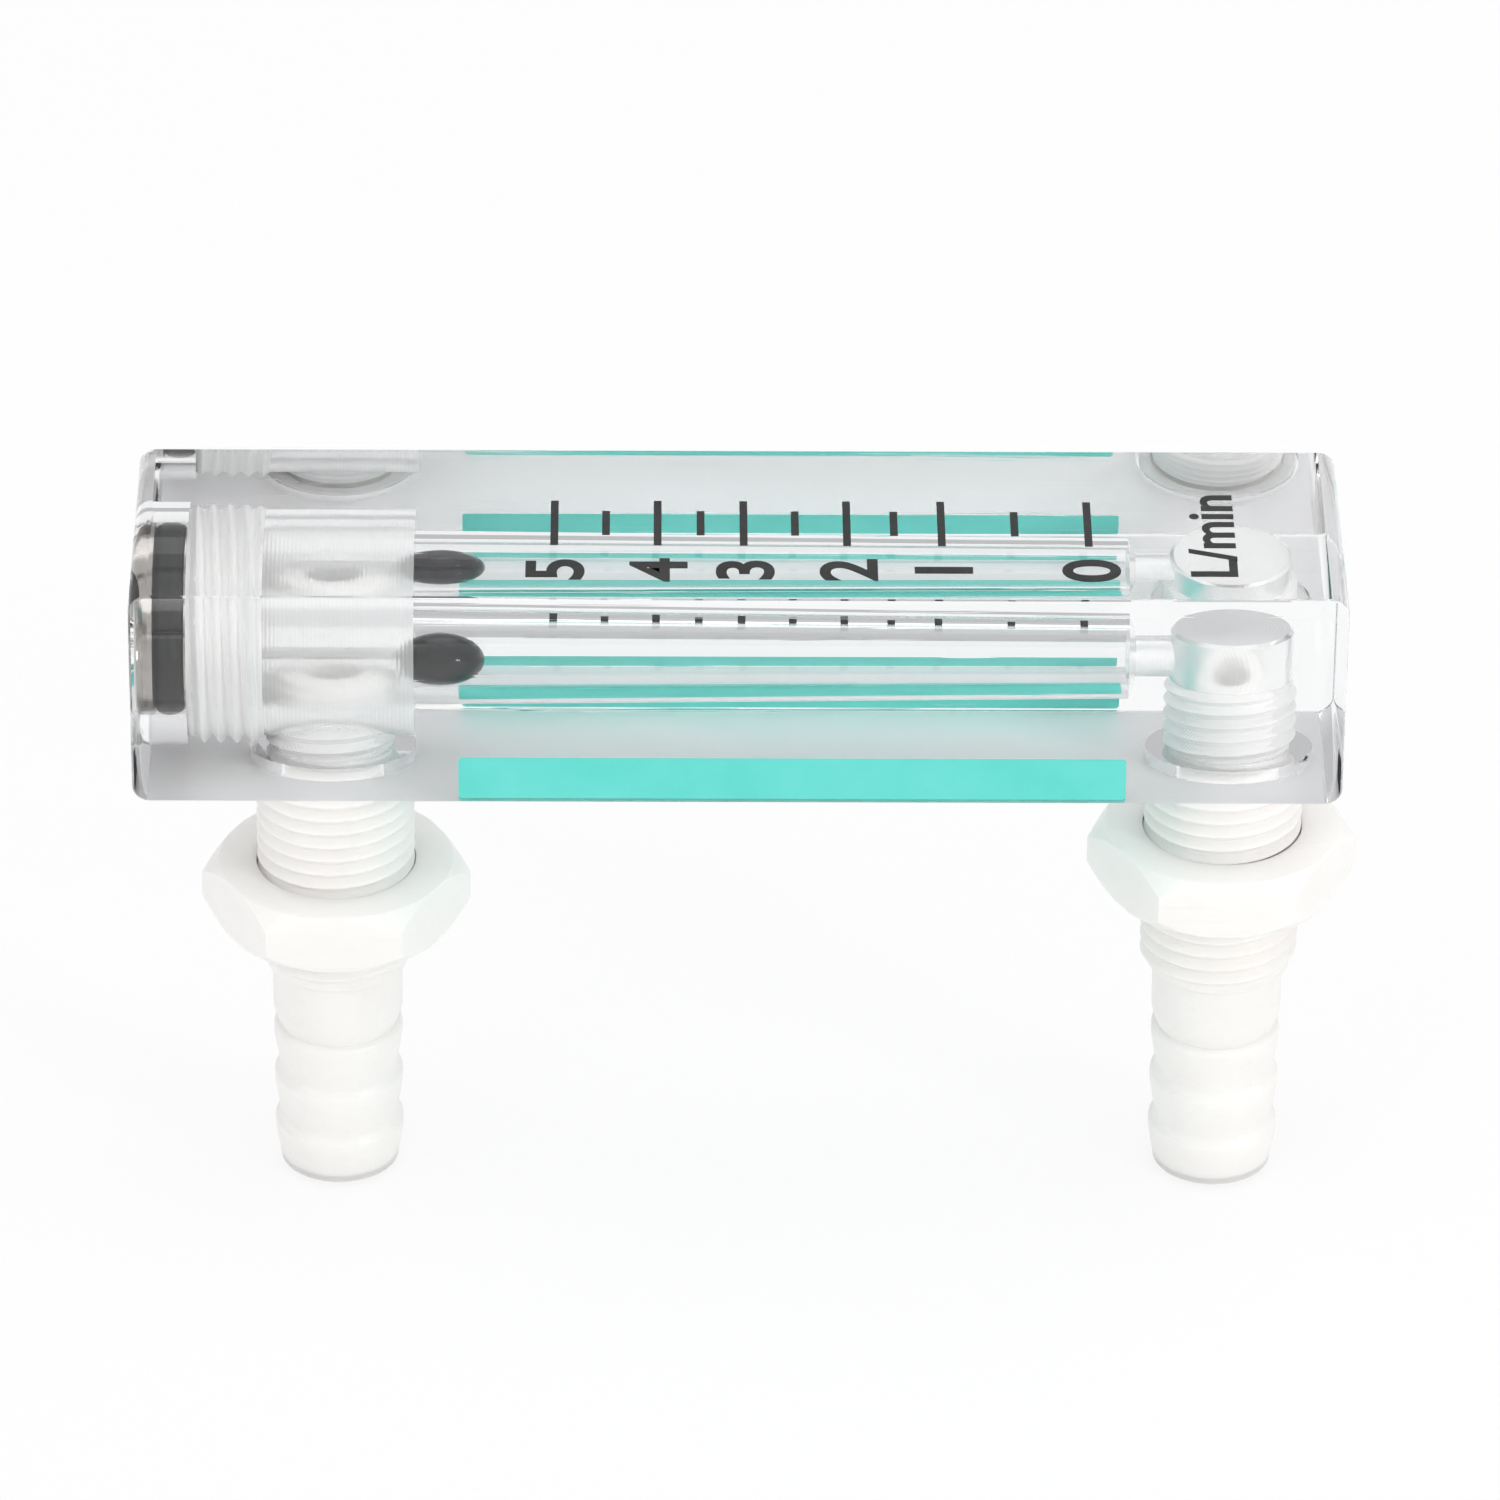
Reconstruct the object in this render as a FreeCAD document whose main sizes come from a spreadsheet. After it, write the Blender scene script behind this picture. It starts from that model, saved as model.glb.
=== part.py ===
import FreeCAD, Part
import Sketcher
import os
import re

# Acrylic block flowmeter for oxygen, 0 to 5 litres a minute, in millimetres.
# The origin lies on the block's back face, midway between the two ports.
# +X runs along the metering tube towards the inlet, and +Z points from the
# panel towards the printed front face. The hose barbs point down, along -Z.

SIZES = {
    # Clear block
    "block_length": 102.0,
    "block_width": 25.0,
    "block_depth": 20.0,
    "block_end_radius": 1.5,
    "port_spacing": 76.0,
    "outlet_end_margin": 16.7,
    # Metering tube, along X
    "tube_height": 10.0,
    "tube_length": 60.3,
    "tube_outlet_radius": 4.7,
    "tube_inlet_radius": 3.95,
    "seat_radius": 1.9,
    "seal_bore_radius": 8.6,
    "seal_bore_depth": 4.6,
    "plug_thread_radius": 8.3,
    "plug_thread_depth": 11.0,
    "chamber_radius": 7.6,
    "chamber_depth": 23.7,
    # Ports, along Z, each in a shallow recess so that the panel lies flat
    "port_recess_radius": 7.1,
    "port_recess_depth": 1.2,
    "port_thread_radius": 5.65,
    "port_thread_depth": 8.0,
    "port_bore_radius": 5.2,
    "port_bore_depth": 12.8,
    # End plug
    "plug_recess": 0.3,
    "plug_end_gap": 0.1,
    "plug_clearance": 0.05,
    "plug_rim_bevel": 0.5,
    "ring_groove_start": 1.8,
    "ring_groove_width": 2.6,
    "ring_section_radius": 1.25,
    "ring_squeeze_gap": 0.05,
    "slot_width": 2.0,
    "slot_depth": 1.2,
    # Float and its stop
    "float_radius": 3.75,
    "float_gap": 0.03,
    "float_end_overhang": 1.55,
    "stop_radius": 0.8,
    "stop_gap": 0.15,
    "stop_socket_depth": 4.0,
    "stop_clearance": 0.02,
    # Hose fittings
    "thread_clearance": 0.05,
    "fitting_reach": 7.5,
    "fitting_bore_radius": 2.5,
    "shank_radius": 6.8,
    "shank_length": 23.2,
    "shank_bevel": 0.6,
    "gasket_thickness": 0.6,
    "gasket_clearance": 0.02,
    "barb_land_radius": 5.6,
    "barb_land_length": 5.0,
    "barb_crest_radius": 5.58,
    "barb_valley_radius": 5.05,
    "barb_front_width": 0.2,
    "barb_crest_width": 0.8,
    "barb_pitch": 4.8,
    "barb_count": 3,
    "barb_neck_length": 1.2,
    "barb_tip_bevel": 1.1,
    # Panel nuts
    "nut_across_flats": 20.0,
    "nut_thickness": 5.4,
    "nut_corner_bevel": 1.5,
    "nut_thread_gap": 0.05,
    "inlet_nut_drop": 9.5,
    "outlet_nut_drop": 13.2,
}

FUNCTIONS = ("sqrt",)

doc = FreeCAD.newDocument("Flowmeter")


def make_sheet():
    """Write each driving size to its own cell of the sheet, with an alias."""
    sheet = doc.addObject("Spreadsheet::Sheet", "Sizes")
    for row, (name, value) in enumerate(SIZES.items(), start=1):
        sheet.set(f"A{row}", name)
        sheet.set(f"B{row}", str(value))
        sheet.setAlias(f"B{row}", name)
    doc.recompute()
    return sheet


sheet = make_sheet()


def bound(formula):
    """Point each bare word of a formula at its cell of the sheet."""
    def cell(match):
        word = match.group(0)
        return word if word in FUNCTIONS else "Sizes." + word
    return re.sub(r"[a-z][a-z_]+", cell, formula)


def value_of(formula):
    """Give a formula's present value as a plain number."""
    return float(sheet.evalExpression(bound(formula)))


def origin_plane(body, role):
    """Find one of a body's own origin planes or axes."""
    return next(feature for feature in body.Origin.OriginFeatures if feature.Role == role)


def add_body(name):
    """Start a body whose label is its node's name."""
    body = doc.addObject("PartDesign::Body", name)
    body.Label = name
    return body


def add_sketch(body, name, corners, role="XZ_Plane", holes=()):
    """Draw a closed outline of straight sides, each corner tied to the sheet.

    corners holds a pair of formulas for each corner. holes holds radius
    formulas of circles about the sketch's origin.
    """
    sketch = body.newObject("Sketcher::SketchObject", name)
    sketch.AttachmentSupport = [(origin_plane(body, role), "")]
    sketch.MapMode = "FlatFace"
    places = [FreeCAD.Vector(value_of(across), value_of(up), 0) for across, up in corners]
    count = len(places)
    for index in range(count):
        sketch.addGeometry(Part.LineSegment(places[index], places[(index + 1) % count]), False)
    for index in range(count):
        following = (index + 1) % count
        sketch.addConstraint(Sketcher.Constraint("Coincident", index, 2, following, 1))
    for index, (across, up) in enumerate(corners):
        for kind, formula in (("DistanceX", across), ("DistanceY", up)):
            constraint = Sketcher.Constraint(kind, -1, 1, index, 1, value_of(formula))
            number = sketch.addConstraint(constraint)
            sketch.setExpression(f"Constraints[{number}]", bound(formula))
    middle = FreeCAD.Vector(0, 0, 0)
    upward = FreeCAD.Vector(0, 0, 1)
    for radius in holes:
        circle = sketch.addGeometry(Part.Circle(middle, upward, value_of(radius)), False)
        sketch.addConstraint(Sketcher.Constraint("Coincident", circle, 3, -1, 1))
        constraint = Sketcher.Constraint("Radius", circle, value_of(radius))
        number = sketch.addConstraint(constraint)
        sketch.setExpression(f"Constraints[{number}]", bound(radius))
    doc.recompute()
    return sketch


def revolve(body, sketch, name, kind="Revolution", axis="V_Axis"):
    """Turn an outline a full circle about one of its own axes, to add or to cut."""
    feature = body.newObject("PartDesign::" + kind, name)
    feature.Profile = sketch
    feature.ReferenceAxis = (sketch, [axis])
    feature.Angle = 360
    doc.recompute()
    return feature


def place(piece, across="0", up="0", rotation=None):
    """Set a piece down in the block's frame, at places tied to the sheet."""
    turned = rotation or FreeCAD.Rotation()
    piece.Placement = FreeCAD.Placement(FreeCAD.Vector(0, 0, 0), turned)
    piece.setExpression("Placement.Base.x", bound(across))
    piece.setExpression("Placement.Base.z", bound(up))


# Places along the tube that several pieces share
OUTLET_END = "(0 - port_spacing / 2 - outlet_end_margin)"
INLET_END = f"({OUTLET_END} + block_length)"
INLET_PORT = "(port_spacing / 2)"
OUTLET_PORT = "(0 - port_spacing / 2)"
TUBE_START = f"({OUTLET_END} + chamber_depth)"
TUBE_END = f"({TUBE_START} + tube_length)"
PLUG_INNER_FACE = f"({OUTLET_END} + plug_thread_depth - plug_end_gap)"
ALONG_TUBE = FreeCAD.Rotation(FreeCAD.Vector(0, 1, 0), 90)

# Height of the shoulder that presses each gasket into its recess
SHOULDER = "(port_recess_depth - gasket_thickness)"

# Where the float lies on the tube's floor at the outlet end
TUBE_SLOPE = "((tube_outlet_radius - tube_inlet_radius) / tube_length)"
FLOAT_START = f"({TUBE_START} + float_radius - float_end_overhang)"
TUBE_RADIUS_AT_FLOAT = f"(tube_outlet_radius - {TUBE_SLOPE} * ({FLOAT_START} - {TUBE_START}))"
FLOAT_DROP = f"({TUBE_RADIUS_AT_FLOAT} - float_radius - float_gap)"


def round_block_ends(body):
    """Round the four edges of the block that run across its two ends."""
    ends = (value_of(OUTLET_END), value_of(INLET_END))
    tip = body.Tip
    edges = []
    for number, edge in enumerate(tip.Shape.Edges, start=1):
        box = edge.BoundBox
        across = box.XLength < 0.01 and box.ZLength < 0.01 and box.YLength > 1
        if across and min(abs(box.XMin - end) for end in ends) < 0.01:
            edges.append(f"Edge{number}")
    fillet = body.newObject("PartDesign::Fillet", "EndRounding")
    fillet.Base = (tip, edges)
    fillet.Radius = SIZES["block_end_radius"]
    fillet.setExpression("Radius", bound("block_end_radius"))
    doc.recompute()


def make_block():
    """Make the clear block with its tapered tube, its chamber and its two ports."""
    body = add_body("clear_block")
    low, high = "0 - block_width / 2", "block_width / 2"
    outline = [(OUTLET_END, low), (INLET_END, low), (INLET_END, high), (OUTLET_END, high)]
    pad = body.newObject("PartDesign::Pad", "Slab")
    pad.Profile = add_sketch(body, "SlabOutline", outline, role="XY_Plane")
    pad.setExpression("Length", bound("block_depth"))
    doc.recompute()
    round_block_ends(body)

    axis = "tube_height"
    seal_end = f"{OUTLET_END} + seal_bore_depth"
    thread_end = f"{OUTLET_END} + plug_thread_depth"
    bores = [
        (OUTLET_END, axis),
        (OUTLET_END, f"{axis} + seal_bore_radius"),
        (seal_end, f"{axis} + seal_bore_radius"),
        (seal_end, f"{axis} + plug_thread_radius"),
        (thread_end, f"{axis} + plug_thread_radius"),
        (thread_end, f"{axis} + chamber_radius"),
        (TUBE_START, f"{axis} + chamber_radius"),
        (TUBE_START, f"{axis} + tube_outlet_radius"),
        (TUBE_END, f"{axis} + tube_inlet_radius"),
        (TUBE_END, f"{axis} + seat_radius"),
        (INLET_PORT, f"{axis} + seat_radius"),
        (INLET_PORT, axis),
    ]
    tube = body.newObject("PartDesign::Groove", "TubeBores")
    tube.Profile = add_sketch(body, "TubeOutline", bores)
    tube.ReferenceAxis = (tube.Profile[0], ["Edge12"])
    tube.Angle = 360
    doc.recompute()

    for side, port in (("Inlet", INLET_PORT), ("Outlet", OUTLET_PORT)):
        wall = [
            (port, "0"),
            (f"{port} + port_recess_radius", "0"),
            (f"{port} + port_recess_radius", "port_recess_depth"),
            (f"{port} + port_thread_radius", "port_recess_depth"),
            (f"{port} + port_thread_radius", "port_thread_depth"),
            (f"{port} + port_bore_radius", "port_thread_depth"),
            (f"{port} + port_bore_radius", "port_bore_depth"),
            (port, "port_bore_depth"),
        ]
        drilled = body.newObject("PartDesign::Groove", side + "Port")
        drilled.Profile = add_sketch(body, side + "PortOutline", wall)
        drilled.ReferenceAxis = (drilled.Profile[0], ["Edge8"])
        drilled.Angle = 360
        doc.recompute()
    return body


def make_end_plug():
    """Turn the metal plug, with its ring groove, coin slot and socket for the stop."""
    body = add_body("end_plug")
    head = "(seal_bore_radius - plug_clearance)"
    thread = "(plug_thread_radius - plug_clearance)"
    groove = "(seal_bore_radius - ring_squeeze_gap - 2 * ring_section_radius)"
    inner = "(plug_thread_depth - plug_end_gap)"
    socket = "(stop_radius + stop_clearance)"
    outline = [
        ("0", "plug_recess"),
        (f"{head} - plug_rim_bevel", "plug_recess"),
        (head, "plug_recess + plug_rim_bevel"),
        (head, "ring_groove_start"),
        (groove, "ring_groove_start"),
        (groove, "ring_groove_start + ring_groove_width"),
        (thread, "ring_groove_start + ring_groove_width"),
        (thread, f"{inner} - plug_rim_bevel"),
        (f"{thread} - plug_rim_bevel", inner),
        (socket, inner),
        (socket, f"{inner} - stop_socket_depth"),
        ("0", f"{inner} - stop_socket_depth"),
    ]
    revolve(body, add_sketch(body, "PlugOutline", outline), "PlugTurning")
    long_side = "seal_bore_radius"
    slot = [
        ("0 - slot_width / 2", f"0 - {long_side}"),
        ("slot_width / 2", f"0 - {long_side}"),
        ("slot_width / 2", long_side),
        ("0 - slot_width / 2", long_side),
    ]
    cut = body.newObject("PartDesign::Pocket", "CoinSlot")
    cut.Profile = add_sketch(body, "SlotOutline", slot, role="XY_Plane")
    cut.Reversed = True
    cut.setExpression("Length", bound("plug_recess + slot_depth"))
    doc.recompute()
    place(body, OUTLET_END, "tube_height", ALONG_TUBE)
    return body


def make_plug_ring():
    """Make the rubber ring that seals the plug in its bore."""
    ring = doc.addObject("Part::Torus", "plug_o_ring")
    ring.Label = "plug_o_ring"
    ring.setExpression("Radius1", bound("seal_bore_radius - ring_squeeze_gap - ring_section_radius"))
    ring.setExpression("Radius2", bound("ring_section_radius"))
    middle = f"{OUTLET_END} + ring_groove_start + ring_groove_width / 2"
    place(ring, middle, "tube_height", ALONG_TUBE)
    return ring


def make_float():
    """Make the ball that rises up the tube with the flow."""
    ball = doc.addObject("Part::Sphere", "float_ball")
    ball.Label = "float_ball"
    ball.setExpression("Radius", bound("float_radius"))
    place(ball, FLOAT_START, f"tube_height - {FLOAT_DROP}")
    return ball


def make_float_stop():
    """Make the pin pressed into the plug, which keeps the ball out of the chamber."""
    pin = doc.addObject("Part::Cylinder", "float_stop_pin")
    pin.Label = "float_stop_pin"
    start = f"({PLUG_INNER_FACE} - stop_socket_depth)"
    reach = f"sqrt(float_radius * float_radius - {FLOAT_DROP} * {FLOAT_DROP})"
    pin.setExpression("Radius", bound("stop_radius"))
    pin.setExpression("Height", bound(f"{FLOAT_START} - {reach} - stop_gap - {start}"))
    place(pin, start, "tube_height", ALONG_TUBE)
    return pin


def barb_outline():
    """List the corners of one hose fitting's section, from its top down to its tip."""
    shank_end = "(0 - shank_length)"
    land_end = f"({shank_end} - barb_land_length)"
    corners = [
        ("fitting_bore_radius", "fitting_reach"),
        ("port_thread_radius - thread_clearance - shank_bevel", "fitting_reach"),
        ("port_thread_radius - thread_clearance", "fitting_reach - shank_bevel"),
        ("port_thread_radius - thread_clearance", SHOULDER),
        ("shank_radius", SHOULDER),
        ("shank_radius", f"{shank_end} + shank_bevel"),
        ("shank_radius - shank_bevel", shank_end),
        ("barb_land_radius", shank_end),
        ("barb_land_radius", land_end),
    ]
    valley = f"({land_end} - barb_neck_length)"
    for ridge in range(SIZES["barb_count"]):
        rise = f"({valley} - {ridge} * barb_pitch)"
        corners += [
            ("barb_valley_radius", rise),
            ("barb_crest_radius", f"{rise} - barb_front_width"),
            ("barb_crest_radius", f"{rise} - barb_crest_width"),
        ]
    tip = f"({valley} - barb_count * barb_pitch)"
    corners += [
        ("barb_valley_radius", f"{tip} + barb_tip_bevel"),
        ("barb_valley_radius - barb_tip_bevel", tip),
        ("fitting_bore_radius", tip),
    ]
    return corners


def make_fitting(side, port):
    """Mould one hose fitting: port thread, threaded shank and hose barb in one piece."""
    body = add_body(side + "_hose_fitting")
    outline = barb_outline()
    sketch = add_sketch(body, side.title() + "FittingOutline", outline)
    revolve(body, sketch, side.title() + "FittingTurning")
    place(body, port)
    return body


def make_gasket(side, port):
    """Make the flat ring between a fitting's shoulder and the block."""
    body = add_body(side + "_port_gasket")
    bore = "port_thread_radius + gasket_clearance"
    section = [
        (bore, SHOULDER),
        ("shank_radius", SHOULDER),
        ("shank_radius", "port_recess_depth"),
        (bore, "port_recess_depth"),
    ]
    sketch = add_sketch(body, side.title() + "GasketOutline", section)
    revolve(body, sketch, side.title() + "GasketTurning")
    place(body, port)
    return body


def make_nut(side, port, drop):
    """Mould one hexagonal panel nut, with both rims bevelled at its corners."""
    body = add_body(side + "_panel_nut")
    flat = "nut_across_flats / 2"
    corner = "nut_across_flats / sqrt(3)"
    half_side = "nut_across_flats / 2 / sqrt(3)"
    hexagon = [
        (corner, "0"),
        (half_side, flat),
        (f"0 - {half_side}", flat),
        (f"0 - {corner}", "0"),
        (f"0 - {half_side}", f"0 - {flat}"),
        (half_side, f"0 - {flat}"),
    ]
    hole = "shank_radius + nut_thread_gap"
    pad = body.newObject("PartDesign::Pad", side.title() + "NutSlab")
    pad.Profile = add_sketch(body, side.title() + "NutOutline", hexagon, "XY_Plane", (hole,))
    pad.setExpression("Length", bound("nut_thickness"))
    doc.recompute()
    outside = f"{corner} + nut_corner_bevel"
    inside = f"{corner} - nut_corner_bevel"
    wedges = {
        "Lower": [(inside, "0"), (outside, "0"), (outside, "2 * nut_corner_bevel")],
        "Upper": [
            (inside, "nut_thickness"),
            (outside, "nut_thickness"),
            (outside, "nut_thickness - 2 * nut_corner_bevel"),
        ],
    }
    for rim, wedge in wedges.items():
        outline = add_sketch(body, side.title() + rim + "Wedge", wedge)
        revolve(body, outline, side.title() + rim + "Bevel", kind="Groove")
    place(body, port, f"0 - {drop} - nut_thickness")
    return body


PIECES = [
    make_block(),
    make_end_plug(),
    make_plug_ring(),
    make_float(),
    make_float_stop(),
    make_fitting("inlet", INLET_PORT),
    make_fitting("outlet", OUTLET_PORT),
    make_gasket("inlet", INLET_PORT),
    make_gasket("outlet", OUTLET_PORT),
    make_nut("inlet", INLET_PORT, "inlet_nut_drop"),
    make_nut("outlet", OUTLET_PORT, "outlet_nut_drop"),
]


def check_model():
    """Stop if any object failed to build, or if a piece has no valid solid."""
    for thing in doc.Objects:
        if "Invalid" in thing.State or "Error" in thing.State:
            raise RuntimeError(f"{thing.Name} failed to build: {thing.State}")
    for piece in PIECES:
        if piece.Shape.isNull() or not piece.Shape.isValid() or not piece.Shape.Solids:
            raise RuntimeError(f"{piece.Label} has no valid solid")


def write_parts():
    """Write each piece to a file of its own, named for its node."""
    os.makedirs("parts", exist_ok=True)
    for piece in PIECES:
        piece.Shape.exportStep(os.path.join("parts", piece.Label + ".step"))
        box = piece.Shape.BoundBox
        print(f"{piece.Label}: {piece.Shape.Volume:.1f} mm3, x {box.XMin:.2f} to {box.XMax:.2f},"
              f" y {box.YMin:.2f} to {box.YMax:.2f}, z {box.ZMin:.2f} to {box.ZMax:.2f}")


doc.recompute()
check_model()
write_parts()
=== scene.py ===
import enum
import logging
import math
from dataclasses import dataclass
from typing import ClassVar, Optional, Sequence, Union

import bmesh
import bpy
from mathutils import Matrix, Vector


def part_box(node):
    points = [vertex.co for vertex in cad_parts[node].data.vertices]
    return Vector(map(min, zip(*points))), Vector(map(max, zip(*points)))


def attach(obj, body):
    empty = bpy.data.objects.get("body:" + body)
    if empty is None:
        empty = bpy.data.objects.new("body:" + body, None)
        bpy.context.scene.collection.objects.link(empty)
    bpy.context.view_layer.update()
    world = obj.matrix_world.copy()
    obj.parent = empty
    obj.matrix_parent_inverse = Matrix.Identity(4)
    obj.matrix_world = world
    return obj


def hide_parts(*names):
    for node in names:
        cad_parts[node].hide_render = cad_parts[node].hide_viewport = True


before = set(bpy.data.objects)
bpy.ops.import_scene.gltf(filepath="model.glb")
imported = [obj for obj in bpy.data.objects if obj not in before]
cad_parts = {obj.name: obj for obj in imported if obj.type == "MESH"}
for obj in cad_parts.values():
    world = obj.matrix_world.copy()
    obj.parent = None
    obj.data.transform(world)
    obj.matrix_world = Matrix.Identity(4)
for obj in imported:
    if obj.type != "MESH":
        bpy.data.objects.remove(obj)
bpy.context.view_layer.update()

# Oxygen flowmeter. Sizes are in millimetres, and meshes are made in metres by MM.
# X runs along the metering tube, Z from the back face to the printed front face.

log = logging.getLogger("flowmeter")

MM = 0.001
ROUND = 96
WELD = 2e-6
FULL_TURN = 2 * math.pi
# Sizes that several pieces share.
BLOCK_START = -54.7
AXIS_HEIGHT = 10.0
PORT_SPACING = 76.0
PORT_RECESS = 1.2
# Most of a noise pattern's values lie in this span.
NOISE_SPAN = (0.3, 0.7)
# The Mix node's colour sockets share their names with its other sockets, so they go by number.
MIX_FIRST, MIX_SECOND, MIX_RESULT = 6, 7, 2

Colour = tuple[float, float, float]
Outline = Sequence[tuple[float, float]]
Value = Union[float, int, tuple, bpy.types.NodeSocket]


class Axis(enum.Enum):
    """The way a turned piece's own Z axis points on the flowmeter."""

    UP = Matrix.Identity(4)
    ALONG = Matrix.Rotation(math.pi / 2, 4, "Y")


class AcrylicFace(enum.IntEnum):
    """Material slots of the clear block, by how each face was finished."""

    POLISHED = 0
    DRILLED = 1
    TAPPED = 2
    MILLED = 3


class TreeWriter:
    """Adds nodes to one shader or geometry tree and joins their sockets."""

    def __init__(self, tree: bpy.types.NodeTree) -> None:
        """Keep the tree that the nodes go into."""
        self.tree = tree

    def node(self, kind: str, feeds: Optional[dict] = None, **settings: object) -> bpy.types.Node:
        """Add a node, set its options and feed its sockets.

        Args:
            kind: Blender's name for the node type.
            feeds: Socket name or number, and the value or socket that feeds it.
            settings: Options of the node itself.

        Returns:
            The new node.
        """
        made = self.tree.nodes.new(kind)
        for name, value in settings.items():
            setattr(made, name, value)
        for socket, value in (feeds or {}).items():
            self.feed(made.inputs[socket], value)
        return made

    def feed(self, socket: bpy.types.NodeSocket, value: Value) -> None:
        """Link a socket to another one, or set its plain value."""
        if isinstance(value, bpy.types.NodeSocket):
            self.tree.links.new(value, socket)
        else:
            socket.default_value = value

    def math(self, operation: str, *values: Value, clamp: bool = False) -> bpy.types.NodeSocket:
        """Work out one sum on numbers or sockets.

        Args:
            operation: Blender's name for the sum.
            values: Its terms, in order.
            clamp: Whether the result is kept between 0 and 1.

        Returns:
            The socket that holds the result.
        """
        feeds = dict(enumerate(values))
        return self.node("ShaderNodeMath", feeds, operation=operation, use_clamp=clamp).outputs[0]

    def between(
        self, value: Value, low: float, high: float, to_low: float = 0.0, to_high: float = 1.0
    ) -> bpy.types.NodeSocket:
        """Stretch a value's range onto another one.

        Args:
            value: The socket to read.
            low: Value that becomes to_low.
            high: Value that becomes to_high.
            to_low: Start of the new range.
            to_high: End of the new range.

        Returns:
            The socket that holds the result.
        """
        feeds = {"Value": value, "From Min": low, "From Max": high, "To Min": to_low, "To Max": to_high}
        return self.node("ShaderNodeMapRange", feeds).outputs["Result"]

    def noise(
        self, place: Value, scale: Value, detail: Value, roughness: float = 0.5
    ) -> bpy.types.NodeSocket:
        """Read a noise pattern.

        Args:
            place: Coordinates to read it at.
            scale: How fine it is, in waves a metre.
            detail: How many finer layers it has.
            roughness: How strong those layers are.

        Returns:
            The socket that holds its value, between 0 and 1.
        """
        feeds = {"Vector": place, "Scale": scale, "Detail": detail, "Roughness": roughness}
        return self.node("ShaderNodeTexNoise", feeds).outputs["Fac"]

    def mix(self, factor: Value, low: Colour, high: Colour) -> bpy.types.NodeSocket:
        """Mix two colours by a factor.

        Args:
            factor: 0 for low and 1 for high.
            low: First colour.
            high: Second colour.

        Returns:
            The socket that holds the colour.
        """
        feeds = {"Factor": factor, MIX_FIRST: (*low, 1.0), MIX_SECOND: (*high, 1.0)}
        return self.node("ShaderNodeMix", feeds, data_type="RGBA").outputs[MIX_RESULT]


class Effect:
    """A surface effect that several finishes share, as one shader node group."""

    title: ClassVar[str] = ""
    inputs: ClassVar[dict[str, float]] = {}
    outputs: ClassVar[tuple[str, ...]] = ()

    @classmethod
    def group(cls) -> bpy.types.NodeTree:
        """Build the group the first time, and find it again after that.

        Returns:
            The shader node group.
        """
        found = bpy.data.node_groups.get(cls.title)
        if found:
            return found
        tree = bpy.data.node_groups.new(cls.title, "ShaderNodeTree")
        for name, value in cls.inputs.items():
            socket = tree.interface.new_socket(name, in_out="INPUT", socket_type="NodeSocketFloat")
            socket.default_value = value
        for name in cls.outputs:
            tree.interface.new_socket(name, in_out="OUTPUT", socket_type="NodeSocketFloat")
        writer = TreeWriter(tree)
        cls.fill(writer, writer.node("NodeGroupInput"), writer.node("NodeGroupOutput"))
        return tree

    @classmethod
    def fill(cls, writer: TreeWriter, start: bpy.types.Node, end: bpy.types.Node) -> None:
        """Put the effect's nodes between the group's inputs and outputs."""
        raise NotImplementedError

    @classmethod
    def place(cls, writer: TreeWriter, **values: float) -> bpy.types.Node:
        """Put the group in a material with its own values.

        Args:
            writer: The material's tree.
            values: Input values, by name with spaces as underscores.

        Returns:
            The group node.
        """
        made = writer.node("ShaderNodeGroup", node_tree=cls.group())
        for name, value in values.items():
            made.inputs[name.replace("_", " ")].default_value = value
        return made


class Mottle(Effect):
    """Soft cloudy variation, as in moulded or wiped surfaces."""

    title = "Mottle"
    inputs = {"Scale": 300.0, "Detail": 3.0}
    outputs = ("Cloud", "Grain")
    FINER: ClassVar[float] = 9.0

    @classmethod
    def fill(cls, writer: TreeWriter, start: bpy.types.Node, end: bpy.types.Node) -> None:
        """Mix a broad cloud and a fine grain on the piece's own coordinates."""
        place = writer.node("ShaderNodeTexCoord").outputs["Object"]
        cloud = writer.noise(place, start.outputs["Scale"], start.outputs["Detail"], roughness=0.55)
        fine = writer.math("MULTIPLY", start.outputs["Scale"], cls.FINER)
        writer.feed(end.inputs["Cloud"], writer.between(cloud, *NOISE_SPAN))
        writer.feed(end.inputs["Grain"], writer.noise(place, fine, detail=2.0, roughness=0.6))


class Scratches(Effect):
    """Hair scratches that cross each other in two directions."""

    title = "Scratches"
    inputs = {"Scale": 60.0, "Share": 0.5}
    outputs = ("Depth",)
    RUNS: ClassVar[tuple] = ((0.35, 60.0), (-0.9, 45.0))
    PEAK: ClassVar[float] = 0.66
    SHARPNESS: ClassVar[float] = 16.0

    @classmethod
    def fill(cls, writer: TreeWriter, start: bpy.types.Node, end: bpy.types.Node) -> None:
        """Cut thin lines out of two stretched noises."""
        place = writer.node("ShaderNodeTexCoord").outputs["Object"]
        lines = []
        for turn, stretch in cls.RUNS:
            feeds = {"Vector": place, "Rotation": (turn, turn, turn), "Scale": (1.0, stretch, stretch)}
            laid = writer.node("ShaderNodeMapping", feeds).outputs[0]
            peak = writer.math("SUBTRACT", writer.noise(laid, start.outputs["Scale"], detail=1.0), cls.PEAK)
            lines.append(writer.math("MULTIPLY", peak, cls.SHARPNESS, clamp=True))
        both = writer.math("MAXIMUM", lines[0], lines[1])
        writer.feed(end.inputs["Depth"], writer.math("MULTIPLY", both, start.outputs["Share"]))


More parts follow.
